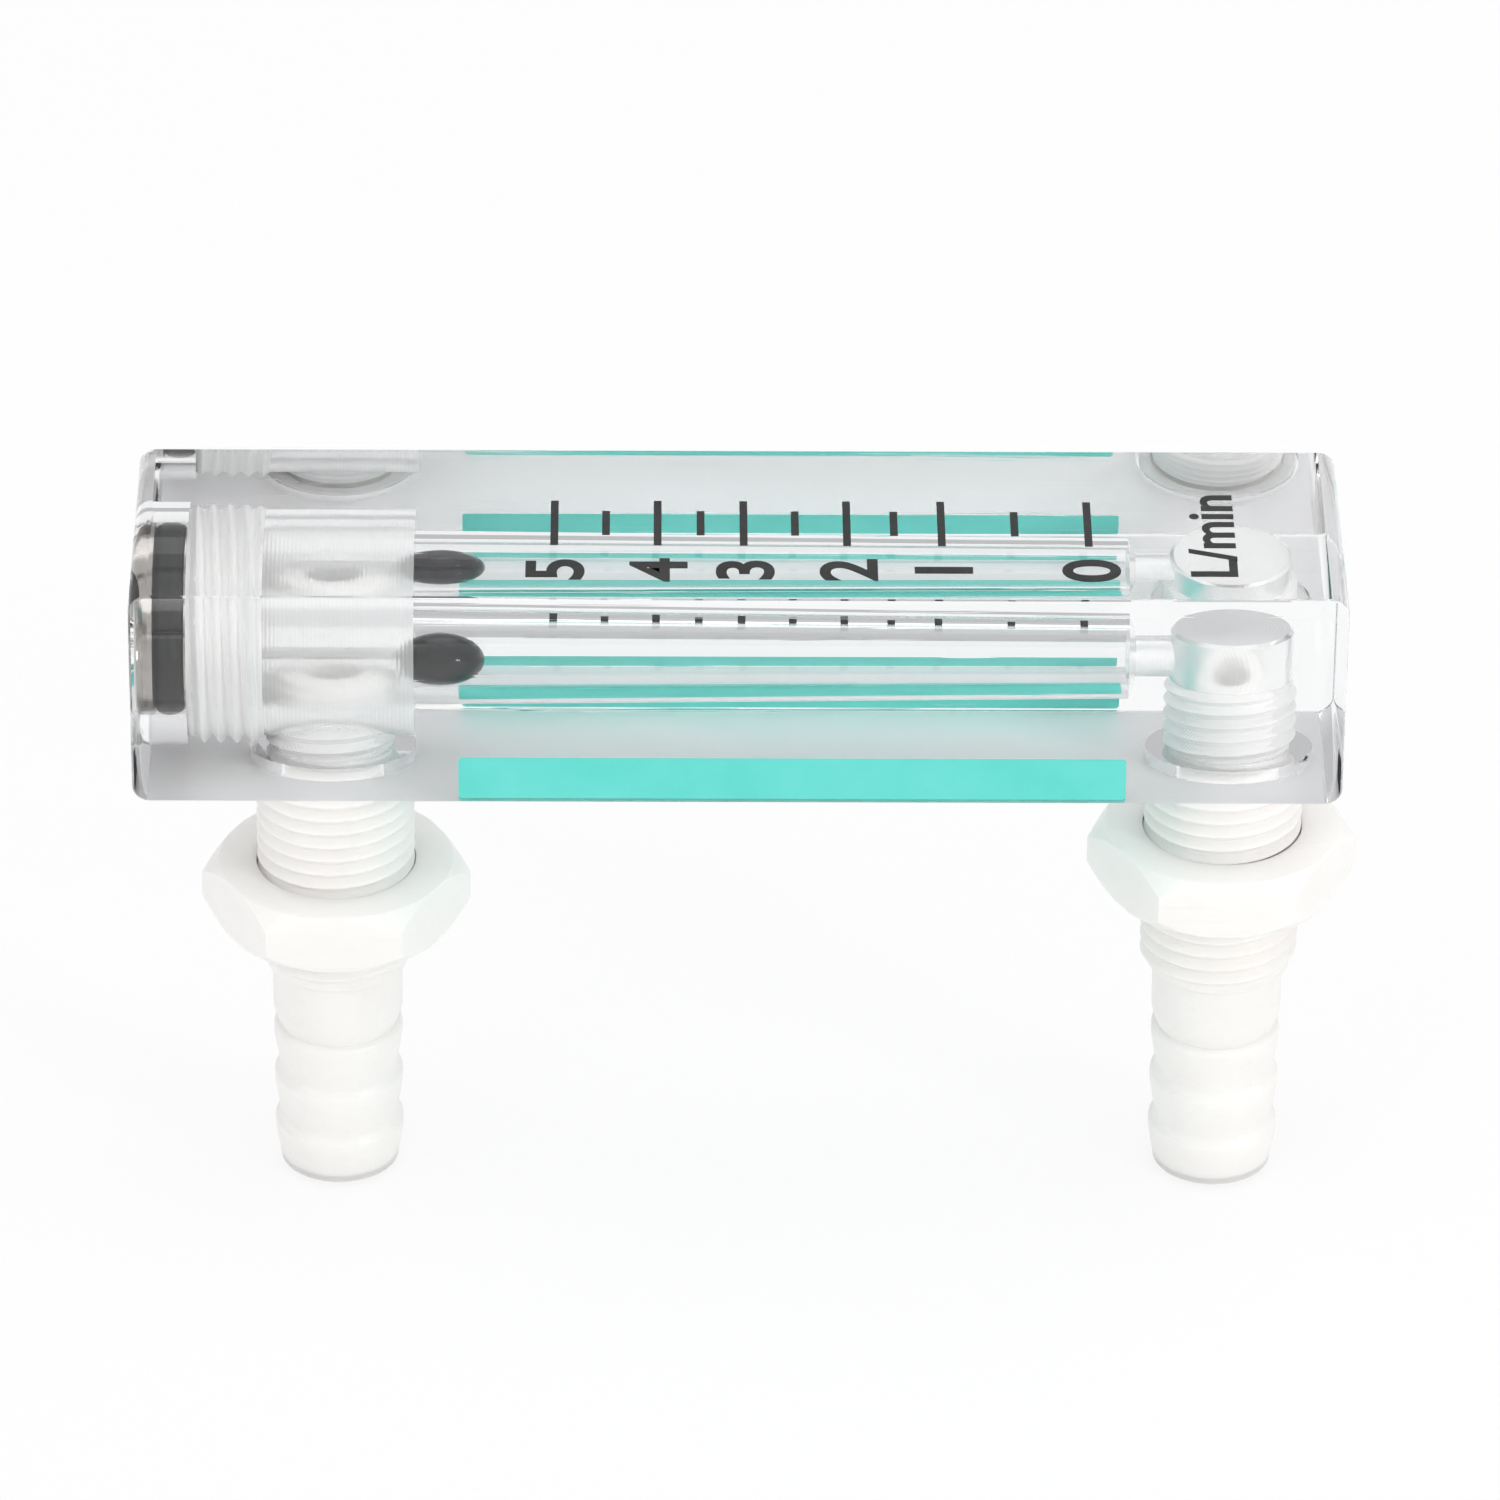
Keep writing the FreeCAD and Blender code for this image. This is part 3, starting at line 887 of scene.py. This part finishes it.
@dataclass
class ClearBlock:
    """The acrylic block with its threaded plug bore, chamber, metering tube and ports.

    Sizes are in millimetres. A wall of up to largest_curved_face square millimetres is shaded
    smooth, and a larger one is one of the block's flat sides.
    """

    start: float = BLOCK_START
    end: float = 47.3
    width: float = 25.0
    depth: float = 20.0
    end_radius: float = 1.5
    end_steps: int = 8
    edge_break: float = 0.2
    edge_steps: int = 2
    axis_height: float = AXIS_HEIGHT
    seal_radius: float = 8.6
    seal_depth: float = 4.6
    plug_thread_radius: float = 8.3
    plug_thread_drop: float = 0.7
    plug_thread_depth: float = 11.0
    plug_pitch: float = 1.4
    chamber_radius: float = 7.6
    chamber_depth: float = 23.7
    tube_start_radius: float = 4.7
    tube_end_radius: float = 3.95
    tube_length: float = 60.3
    seat_radius: float = 1.9
    port_spacing: float = PORT_SPACING
    recess_radius: float = 7.1
    recess_depth: float = PORT_RECESS
    port_radius: float = 5.65
    port_thread_drop: float = 0.6
    port_thread_depth: float = 8.0
    port_pitch: float = 1.34
    port_bore_radius: float = 5.2
    port_bore_depth: float = 12.8
    chamfer: float = 0.3
    chamber_ledge: float = 0.01
    port_ledge: float = 0.05
    seat_slope: float = 0.6
    spill: float = 1.0
    rim_angle: float = 80.0
    milled_lean: float = 8.0
    largest_curved_face: float = 40.0

    def slab(self) -> bpy.types.Mesh:
        """Make the solid slab with rounded ends and broken edges.

        Returns:
            The slab, with its back face in the milled slot.
        """
        half = self.width / 2
        build = box_between((self.start, -half, 0), (self.end, half, self.depth))

        def across(edge: bmesh.types.BMEdge) -> bool:
            """Tell whether an edge runs across the block, along Y."""
            return abs(edge.verts[0].co.y - edge.verts[1].co.y) > MM

        rounded(build, [edge for edge in build.edges if across(edge)], self.end_radius, self.end_steps)
        rim = [edge for edge in build.edges if edge.calc_face_angle(0) > math.radians(self.rim_angle)]
        rounded(build, rim, self.edge_break, self.edge_steps)
        bmesh.ops.recalc_face_normals(build, faces=build.faces)
        down = Vector((0, 0, -1))
        for face in build.faces:
            if face.normal.angle(down) < math.radians(self.milled_lean):
                face.material_index = AcrylicFace.MILLED
        return closed_off(build, "slab")

    def tube_cutter(self) -> bpy.types.Mesh:
        """Make the shape that cuts the plug bore, chamber and metering tube.

        Returns:
            The closed cutter, along the tube's axis.
        """
        crest = self.plug_thread_radius - self.plug_thread_drop
        tube_end = self.chamber_depth + self.tube_length
        seat_end = self.port_spacing / 2 - self.start
        mouth = self.seal_radius + self.chamfer
        entry = [(0, -self.spill), (mouth, -self.spill), (mouth, 0), (self.seal_radius, self.chamfer)]
        entry += [(self.seal_radius, self.seal_depth), (crest, self.seal_depth)]
        cut = thread(crest, self.plug_thread_drop, self.plug_pitch, self.plug_thread_depth - self.seal_depth)
        hall = [(crest, self.plug_thread_depth)]
        hall += rings(self.chamber_radius, self.plug_thread_depth + self.chamber_ledge, self.chamber_depth)
        hall += [(self.tube_start_radius, self.chamber_depth)]
        bore = [(self.tube_start_radius, self.chamber_depth), (self.tube_end_radius, tube_end)]
        seat = [(self.tube_end_radius, tube_end), (self.seat_radius, tube_end + self.seat_slope)]
        seat += [(self.seat_radius, seat_end), (0, seat_end)]
        parts = [turned(entry), lifted(cut, self.seal_depth), turned(hall), turned(bore), turned(seat)]
        faces = AcrylicFace
        slots = [faces.POLISHED, faces.TAPPED, faces.DRILLED, faces.POLISHED, faces.DRILLED]
        return welded(parts, at(Axis.ALONG, self.start, self.axis_height), slots)

    def port_cutter(self, port: float) -> bpy.types.Mesh:
        """Make the shape that drills and taps one port.

        Args:
            port: The port's place along X.

        Returns:
            The closed cutter, along Z.
        """
        crest = self.port_radius - self.port_thread_drop
        entry = [(0, -self.spill), (self.recess_radius, -self.spill), (self.recess_radius, self.recess_depth)]
        entry += [(crest, self.recess_depth)]
        tapped = self.port_thread_depth - self.recess_depth
        cut = thread(crest, self.port_thread_drop, self.port_pitch, tapped)
        top = self.port_bore_depth
        blind = [(crest, self.port_thread_depth)]
        blind += rings(self.port_bore_radius, self.port_thread_depth + self.port_ledge, top - self.chamfer)
        blind += [(self.port_bore_radius - self.chamfer, top), (0, top)]
        parts = [turned(entry), lifted(cut, self.recess_depth), turned(blind)]
        faces = AcrylicFace
        return welded(parts, at(Axis.UP, port), [faces.POLISHED, faces.TAPPED, faces.DRILLED])

    def build(self) -> bpy.types.Object:
        """Cut the bores out of the slab.

        Returns:
            The block.
        """
        half = self.port_spacing / 2
        cutters = [self.tube_cutter(), self.port_cutter(-half), self.port_cutter(half)]
        mesh = carved(self.slab(), cutters, len(AcrylicFace))
        smooth(mesh)
        for face in mesh.polygons:
            face.use_smooth = face.area < self.largest_curved_face * MM * MM
        materials = [face.name.title() + " acrylic" for face in AcrylicFace]
        piece = finish_piece("acrylic_block", mesh, materials, replaces=["clear_block"])
        # Light has to reach the pieces inside, so the clear block casts no shadow of its own.
        piece.visible_shadow = False
        return piece


@dataclass
class EndPlug:
    """The plated plug with its thread, its coin slot, its sealing ring and the float's stop."""

    start: float = BLOCK_START
    axis_height: float = AXIS_HEIGHT
    head_radius: float = 8.55
    recess: float = 0.3
    bevel: float = 0.5
    edge: float = 0.15
    face_rings: tuple[float, float] = (2.0, 5.0)
    groove_start: float = 1.8
    groove_end: float = 4.4
    groove_radius: float = 6.05
    thread_start: float = 4.6
    thread_end: float = 10.4
    thread_root: float = 7.55
    thread_depth: float = 0.68
    pitch: float = 1.4
    length: float = 10.9
    socket_radius: float = 0.82
    socket_depth: float = 4.0
    slot_width: float = 2.0
    slot_depth: float = 1.2
    saw_overrun: float = 1.0
    ring_radius: float = 7.3
    ring_section: float = 1.25
    ring_steps: int = 28
    ring_share: float = 0.985
    stop_radius: float = 0.8
    stop_start: float = 6.9
    stop_end: float = 22.11

    def place(self) -> Matrix:
        """Give the plug's place in the block."""
        return at(Axis.ALONG, self.start, self.axis_height)

    def plug(self) -> bpy.types.Object:
        """Turn the plug, cut its thread and saw its slot.

        Returns:
            The plug.
        """
        root = self.thread_root
        rims = (0, *self.face_rings, self.head_radius - self.bevel)
        head = [(radius, self.recess) for radius in rims]
        head += [(self.head_radius - self.edge, self.recess + self.edge)]
        head += [(self.head_radius, self.recess + self.bevel)]
        head += [(self.head_radius, self.groove_start), (self.groove_radius, self.groove_start)]
        head += [(self.groove_radius, self.groove_end), (root, self.groove_end), (root, self.thread_start)]
        tail = [(root, self.thread_end), (root, self.length - self.bevel), (root - self.bevel, self.length)]
        tail += [(self.socket_radius, self.length), (self.socket_radius, self.length - self.socket_depth)]
        tail += [(0, self.length - self.socket_depth)]
        cut = thread(root, self.thread_depth, self.pitch, self.thread_end - self.thread_start)
        shell = welded([turned(head), lifted(cut, self.thread_start), turned(tail)], self.place())
        mesh = carved(shell, [self.saw()])
        smooth(mesh)
        return finish_piece("plug", mesh, ["Nickel plate"], replaces=["end_plug"])

    def saw(self) -> bpy.types.Mesh:
        """Make the plate that saws the coin slot, upright across the plug's face.

        Returns:
            The cutting plate, in place.
        """
        deep, tall = self.recess + self.slot_depth, self.head_radius + self.saw_overrun
        low = (self.start - deep, -self.slot_width / 2, self.axis_height - tall)
        high = (self.start + deep, self.slot_width / 2, self.axis_height + tall)
        return closed_off(box_between(low, high), "saw")

    def ring(self) -> bpy.types.Object:
        """Make the sealing ring, with the fine flash line of its mould.

        Returns:
            The ring.
        """
        section = []
        for step in range(self.ring_steps):
            angle = FULL_TURN * step / self.ring_steps
            on_flash = step in (0, self.ring_steps // 2)
            reach = self.ring_section * (1.0 if on_flash else self.ring_share)
            section.append((self.ring_radius + reach * math.cos(angle), reach * math.sin(angle)))
        middle = (self.groove_start + self.groove_end) / 2
        place = at(Axis.ALONG, self.start + middle, self.axis_height)
        shell = welded([turned(section, closed=True)], place)
        smooth(shell, 80)
        return finish_piece("sealing_ring", shell, ["Black rubber"], replaces=["plug_o_ring"])

    def stop(self) -> bpy.types.Object:
        """Make the pin that keeps the float out of the chamber.

        Returns:
            The pin.
        """
        rod, edge = self.stop_radius, self.edge
        outline = [(0, self.stop_start), (rod - edge, self.stop_start), (rod, self.stop_start + edge)]
        outline += [(rod, self.stop_end - edge), (rod - edge, self.stop_end), (0, self.stop_end)]
        shell = welded([turned(outline)], self.place())
        smooth(shell)
        return finish_piece("stop_pin", shell, ["Drawn steel"], replaces=["float_stop_pin"])

    def build(self) -> None:
        """Make the plug and the pieces on it."""
        self.plug()
        self.ring()
        self.stop()


@dataclass
class FloatBall:
    """The black ball that rides in the metering tube."""

    radius: float = 3.75
    rings: int = 48

    def build(self) -> bpy.types.Object:
        """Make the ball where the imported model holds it.

        Returns:
            The ball, on the float's own body.
        """
        low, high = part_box("float_ball")
        middle = (low + high) / 2
        outline = []
        for step in range(self.rings + 1):
            angle = math.pi * step / self.rings
            radius = 0 if step in (0, self.rings) else self.radius * math.sin(angle)
            outline.append((radius, -self.radius * math.cos(angle)))
        shell = welded([turned(outline)], Matrix.Translation(middle))
        smooth(shell, 60)
        replaces = ["float_ball"]
        return finish_piece("ball", shell, ["Float black"], "float", replaces)


@dataclass
class HoseFitting:
    """One moulded fitting: port thread, threaded shank and hose barb, with its gasket."""

    side: str
    port: float
    reach: float = 7.5
    bore: float = 2.5
    port_root: float = 5.0
    port_depth: float = 0.58
    pitch: float = 1.34
    shoulder: float = 0.6
    recess_depth: float = PORT_RECESS
    shank_radius: float = 6.8
    shank_root: float = 6.15
    shank_length: float = 23.2
    shank_bevel: float = 0.6
    land_radius: float = 5.6
    land_end: float = -28.2
    valley: float = 5.05
    crest: float = 5.58
    ridge_start: float = -29.4
    ridge_pitch: float = 4.8
    ridges: int = 3
    tip_bevel: float = 1.1
    tip_steps: int = 6
    corner: float = 0.3
    foot_chamfer: float = 0.2
    crest_gap: float = 0.02
    land_foot: tuple[tuple[float, float], ...] = ((0.0, 0.5), (0.08, 0.15))
    valley_lead: tuple[float, float] = (0.2, 0.45)
    gasket_inner: float = 5.67
    gasket_outer: float = 6.8
    gasket_edge: float = 0.12
    gasket_film: float = 0.02
    ridge_shape: tuple[tuple[float, float], ...] = (
        (0.12, 0.55), (0.3, 0.9), (0.6, 1.0), (1.2, 0.97), (2.2, 0.7), (3.4, 0.3), (4.3, 0.04),
    )

    def tip(self) -> float:
        """Give the height of the barb's tip."""
        return self.ridge_start - self.ridges * self.ridge_pitch

    def barbs(self) -> list[tuple[float, float]]:
        """Draw the rounded ridges from the land down to the tip.

        Returns:
            Points of radius and height.
        """
        out, up = self.valley_lead
        drawn = [(self.land_radius - inward, self.land_end + above) for inward, above in self.land_foot]
        drawn += [(self.valley + out, self.ridge_start + up), (self.valley, self.ridge_start)]
        rise = self.crest - self.valley
        for ridge in range(self.ridges):
            top = self.ridge_start - ridge * self.ridge_pitch
            for down, share in self.ridge_shape:
                drawn.append((self.valley + rise * share, top - down))
        tip = self.tip()
        for step in range(self.tip_steps + 1):
            angle = math.pi / 2 * step / self.tip_steps
            radius = self.valley - self.tip_bevel * (1 - math.cos(angle))
            drawn.append((radius, tip + self.tip_bevel * (1 - math.sin(angle))))
        return drawn

    def fitting(self) -> bpy.types.Object:
        """Make the fitting as one shell with its gas bore.

        Returns:
            The fitting.
        """
        tip = self.tip()
        shank_end = -self.shank_length
        edge = self.corner
        top = [(self.bore, tip + edge), (self.bore, self.reach - edge), (self.bore + edge, self.reach)]
        top += [(self.port_root - edge, self.reach), (self.port_root, self.reach - edge)]
        port_length = self.reach - edge - self.recess_depth
        upper = thread(self.port_root, self.port_depth, self.pitch, port_length)
        neck = [(self.port_root, self.recess_depth), (self.port_root, self.shoulder)]
        neck += [(self.shank_root, self.shoulder)]
        shank_length = self.shoulder - (shank_end + self.shank_bevel)
        shank_depth = self.shank_radius - self.shank_root - self.crest_gap
        lower = thread(self.shank_root, shank_depth, self.pitch, shank_length)
        chamfer = self.foot_chamfer
        foot = [(self.shank_root, shank_end + self.shank_bevel), (self.shank_root, shank_end + chamfer)]
        foot += [(self.shank_root - chamfer, shank_end), (self.land_radius, shank_end)]
        end = [*self.barbs(), (self.bore + edge, tip), (self.bore, tip + edge)]
        parts = [
            turned(top),
            lifted(upper, self.recess_depth),
            turned(neck),
            lifted(lower, shank_end + self.shank_bevel),
            turned(foot + end),
        ]
        shell = welded(parts, at(Axis.UP, self.port))
        smooth(shell, 40)
        name, replaces = self.side + "_fitting", [self.side + "_hose_fitting"]
        return finish_piece(name, shell, ["White nylon"], replaces=replaces)

    def gasket(self) -> bpy.types.Object:
        """Make the flat gasket under the fitting's shoulder.

        Returns:
            The gasket.
        """
        inner, outer, edge = self.gasket_inner, self.gasket_outer, self.gasket_edge
        low, high = self.shoulder + self.gasket_film, self.recess_depth - self.gasket_film
        section = [(inner, low + edge), (inner, high - edge), (inner + edge, high), (outer - edge, high)]
        section += [(outer, high - edge), (outer, low + edge), (outer - edge, low), (inner + edge, low)]
        shell = welded([turned(section, closed=True)], at(Axis.UP, self.port))
        smooth(shell)
        name, replaces = self.side + "_gasket", [self.side + "_port_gasket"]
        return finish_piece(name, shell, ["Clear silicone"], replaces=replaces)

    def build(self) -> None:
        """Make the fitting and its gasket."""
        self.fitting()
        self.gasket()


@dataclass
class PanelNut:
    """One moulded panel nut, taken from its CAD shape and softened as a moulding is."""

    side: str
    edge_radius: float = 0.75
    edge_steps: int = 4
    flat_angle: float = 2.0
    corner_angle: float = 25.0

    def build(self) -> bpy.types.Object:
        """Round the edges of a copy of the CAD nut.

        Returns:
            The nut.
        """
        node = self.side + "_panel_nut"
        build = bmesh.new()
        build.from_mesh(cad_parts[node].data)
        bmesh.ops.remove_doubles(build, verts=build.verts, dist=WELD)
        flat = math.radians(self.flat_angle)
        bmesh.ops.dissolve_limit(build, angle_limit=flat, verts=build.verts, edges=build.edges)
        bmesh.ops.recalc_face_normals(build, faces=build.faces)
        blank = linked("nut", closed_off(build, "nut"))
        bevel = blank.modifiers.new("Rounding", "BEVEL")
        bevel.width = self.edge_radius * MM
        bevel.segments = self.edge_steps
        bevel.limit_method = "ANGLE"
        bevel.angle_limit = math.radians(self.corner_angle)
        bevel.harden_normals = False
        made = settled(blank)
        smooth(made, 35)
        return finish_piece(self.side + "_nut", made, ["White nylon"], replaces=[node])


@dataclass
class PrintedScale:
    """The black scale on the front face: marks, numbers and unit, and the teal bands."""

    face: float = 20.0
    skin: float = 0.04
    width: float = 0.66
    longest: tuple[float, float] = (-3.72, 3.72)
    shortest: tuple[float, float] = (-2.02, 2.02)
    numbers: tuple[tuple[str, float], ...] = (
        ("5", -19.19), ("4", -10.5), ("3", -3.26), ("2", 5.43), ("1", 13.4), ("0", 25.75),
    )
    halves: tuple[float, ...] = (-14.85, -6.88, 1.07, 9.4, 19.57)
    number_middle: float = -7.75
    number_height: float = 4.75
    stretch: float = 1.15
    boldness: float = 0.022
    unit_place: tuple[float, float] = (38.0, -9.0)
    unit_height: float = 3.9
    band_side: float = 12.5
    band_x: tuple[float, float] = (-27.2, 29.0)
    near_z: tuple[float, float] = (0.45, 4.4)
    far_z: tuple[float, float] = (0.2, 4.6)
    back_y: tuple[float, float] = (-11.9, -0.9)
    corner: float = 0.35

    def marks(self) -> bpy.types.Object:
        """Print a long mark at each number and a short one between.

        Returns:
            The marks.
        """
        points, reaches = [], []
        rows = [(x, self.longest) for _, x in self.numbers] + [(x, self.shortest) for x in self.halves]
        for x, (low, high) in rows:
            points.append((x * MM, (low + high) / 2 * MM, self.face * MM))
            reaches.append((high - low) * MM)
        base = bare_mesh("marks", points)
        base.attributes.new("reach", "FLOAT", "POINT").data.foreach_set("value", reaches)
        mesh = TickTree.mesh(base, Width=self.width * MM, Thickness=self.skin * MM)
        return finish_piece("scale_marks", mesh, ["Black ink"])

    def lettering(self, name: str, text: str, height: float, place: tuple[float, float]) -> bpy.types.Object:
        """Print a word that reads across the block, with its tops to the left.

        Args:
            name: The piece's name.
            text: What it says.
            height: Height of its capitals.
            place: Middle of a number, or the start of a word's baseline.

        Returns:
            The printed word.
        """
        curve = bpy.data.curves.new(name, "FONT")
        curve.body = text
        # One unit thick in all, which the scaling below turns into one skin of ink.
        curve.extrude = 0.5
        curve.offset = self.boldness
        curve.resolution_u = 6
        single = len(text) == 1
        curve.align_x = "CENTER" if single else "LEFT"
        mesh = settled(linked("letters", curve))
        tall = max(corner.co.y for corner in mesh.vertices)
        size = height * MM / tall
        mesh.transform(Matrix.Diagonal((size * self.stretch, size, self.skin * MM, 1)))
        mesh.transform(Matrix.Rotation(math.pi / 2, 4, "Z"))
        baseline = place[0] + (height / 2 if single else 0)
        mesh.transform(Matrix.Translation(Vector((baseline, place[1], self.face)) * MM))
        return finish_piece(name, mesh, ["Black ink"])

    def band(self, name: str, low: Sequence[float], high: Sequence[float]) -> bpy.types.Object:
        """Print one teal band with rounded corners on a flat face.

        Args:
            name: The piece's name.
            low: Its lowest corner, in millimetres.
            high: Its highest corner.

        Returns:
            The band.
        """
        build = box_between(low, high)
        thin = 2 * self.skin * MM
        through = [edge for edge in build.edges if edge.calc_length() < thin]
        rounded(build, through, self.corner, 4)
        bmesh.ops.recalc_face_normals(build, faces=build.faces)
        mesh = closed_off(build, name)
        return finish_piece(name, mesh, ["Teal ink"])

    def bands(self) -> None:
        """Print the bands along the foot of both sides and under the tube."""
        left, right = self.band_x
        half = self.skin / 2
        sides = (("near_band", -self.band_side, self.near_z), ("far_band", self.band_side, self.far_z))
        for name, side, (low, high) in sides:
            self.band(name, (left, side - half, low), (right, side + half, high))
        self.band("back_band", (left, self.back_y[0], -half), (right, self.back_y[1], half))

    def build(self) -> None:
        """Print everything on the block."""
        self.marks()
        names = {"5": "five", "4": "four", "3": "three", "2": "two", "1": "one", "0": "zero"}
        for text, x in self.numbers:
            self.lettering("number_" + names[text], text, self.number_height, (x, self.number_middle))
        self.lettering("unit_text", "L/min", self.unit_height, self.unit_place)
        self.bands()


@dataclass
class Studio:
    """The pale floor, the soft light and the photograph's camera."""

    floor_height: float = -43.85
    azimuth: float = -0.563
    elevation: float = 31.0
    roll: float = 0.462
    distance: float = 918.0
    pixels_per_mm: float = 11.93
    aim: tuple[float, float, float] = (-3.7, -12.5, 10.0)
    aim_pixel: tuple[float, float] = (738.3, 701.4)
    picture: float = 1500.0
    sensor: float = 36.0
    floor_reach: float = 4.0
    floor_white: float = 0.82
    floor_cloth: Colour = (0.9, 0.9, 0.9)
    front_light: Colour = (0.86, 0.86, 0.865)
    back_light: Colour = (0.52, 0.52, 0.53)
    back_light_from: float = 0.7
    lamps: tuple[tuple[str, tuple[float, float, float], float, float], ...] = (
        ("overhead", (0.1, 0.05, 1.1), 0.9, 3.2),
        ("left_front", (-0.8, -0.8, 0.6), 0.7, 1.5),
        ("key", (0.75, -0.62, 0.4), 0.2, 1.9),
    )

    def camera(self) -> None:
        """Stand the camera where the photograph was taken from."""
        a, e, r = (math.radians(angle) for angle in (self.azimuth, self.elevation, self.roll))
        back = Vector((math.sin(a) * math.cos(e), -math.cos(a) * math.cos(e), math.sin(e)))
        level = Vector((math.cos(a), math.sin(a), 0))
        upright = back.cross(level)
        right = level * math.cos(r) + upright * math.sin(r)
        up = upright * math.cos(r) - level * math.sin(r)
        focal = self.pixels_per_mm * self.distance
        middle = self.picture / 2
        beside, above = ((middle - self.aim_pixel[0]) / focal, (self.aim_pixel[1] - middle) / focal)
        toward = -back + right * beside + up * above
        depth = -toward.normalized()
        side = up.cross(depth).normalized()
        top = depth.cross(side)
        data = bpy.data.cameras.new("Camera")
        data.sensor_width = self.sensor
        data.lens = focal * self.sensor / self.picture
        data.clip_start, data.clip_end = 0.02, 20
        camera = linked("Camera", data)
        turn = Matrix((side, top, depth)).transposed().to_4x4()
        camera.matrix_world = Matrix.Translation((Vector(self.aim) + back * self.distance) * MM) @ turn
        bpy.context.scene.camera = camera

    def seen_through(self, writer: TreeWriter) -> bpy.types.NodeSocket:
        """Tell the rays that show the background from those that light the object.

        Args:
            writer: The tree to write in.

        Returns:
            1 for camera, glossy and transmission rays, and 0 for the others.
        """
        path = writer.node("ShaderNodeLightPath").outputs
        shown = writer.math("MAXIMUM", path["Is Camera Ray"], path["Is Glossy Ray"])
        return writer.math("MAXIMUM", shown, path["Is Transmission Ray"])

    def floor(self) -> None:
        """Lay a pale floor that looks white and keeps the object's shadow."""
        reach = self.floor_reach
        corners = [(-reach, -reach, 0), (reach, -reach, 0), (reach, reach, 0), (-reach, reach, 0)]
        mesh = bare_mesh("floor", corners, [(0, 1, 2, 3)])
        mesh.transform(Matrix.Translation((0, 0, self.floor_height * MM)))
        material = bpy.data.materials.new("Pale floor")
        material.use_nodes = True
        material.node_tree.nodes.clear()
        writer = TreeWriter(material.node_tree)
        cloth = writer.node("ShaderNodeBsdfDiffuse", {"Color": (*self.floor_cloth, 1.0)})
        white = writer.node("ShaderNodeEmission", {"Color": (1.0, 1.0, 1.0, 1.0), "Strength": 1.0})
        share = writer.math("MULTIPLY", self.seen_through(writer), self.floor_white)
        mixed = writer.node("ShaderNodeMixShader", {0: share, 1: cloth.outputs[0], 2: white.outputs[0]})
        writer.node("ShaderNodeOutputMaterial", {"Surface": mixed.outputs[0]})
        mesh.materials.append(material)
        floor = linked("floor", mesh)

    def world(self) -> None:
        """Surround the object with pale light that is greyer behind it."""
        world = bpy.data.worlds.new("Studio")
        bpy.context.scene.world = world
        world.use_nodes = True
        world.node_tree.nodes.clear()
        writer = TreeWriter(world.node_tree)
        way = writer.node("ShaderNodeTexCoord").outputs["Generated"]
        parts = writer.node("ShaderNodeSeparateXYZ", {0: way})
        behind = writer.between(parts.outputs["Y"], 0.0, self.back_light_from)
        shade = writer.mix(behind, self.front_light, self.back_light)
        back = writer.node("ShaderNodeBackground", {"Color": shade, "Strength": 1.0})
        writer.node("ShaderNodeOutputWorld", {"Surface": back.outputs[0]})

    def lamp(self, name: str, place: tuple[float, float, float], size: float, power: float) -> None:
        """Hang one soft lamp that faces the object.

        Args:
            name: The lamp's name.
            place: Where it hangs, in metres.
            size: Side of its square, in metres.
            power: Its power in watts.
        """
        data = bpy.data.lights.new(name, "AREA")
        data.size = size
        data.energy = power
        lamp = linked(name, data)
        lamp.location = place
        lamp.rotation_euler = (-Vector(place)).to_track_quat("-Z", "Y").to_euler()

    def build(self) -> None:
        """Set the stage, the light, the camera and the view."""
        self.camera()
        self.floor()
        self.world()
        for name, place, size, power in self.lamps:
            self.lamp(name, place, size, power)
        bpy.context.scene.view_settings.view_transform = "Standard"


def main() -> None:
    """Build the flowmeter and its stage, piece by piece."""
    logging.basicConfig(level=logging.INFO, format="%(name)s: %(message)s")
    Studio().build()
    ClearBlock().build()
    EndPlug().build()
    FloatBall().build()
    for side, port in (("inlet", PORT_SPACING / 2), ("outlet", -PORT_SPACING / 2)):
        HoseFitting(side, port).build()
        PanelNut(side).build()
    PrintedScale().build()


if __name__ == "__main__":
    main()
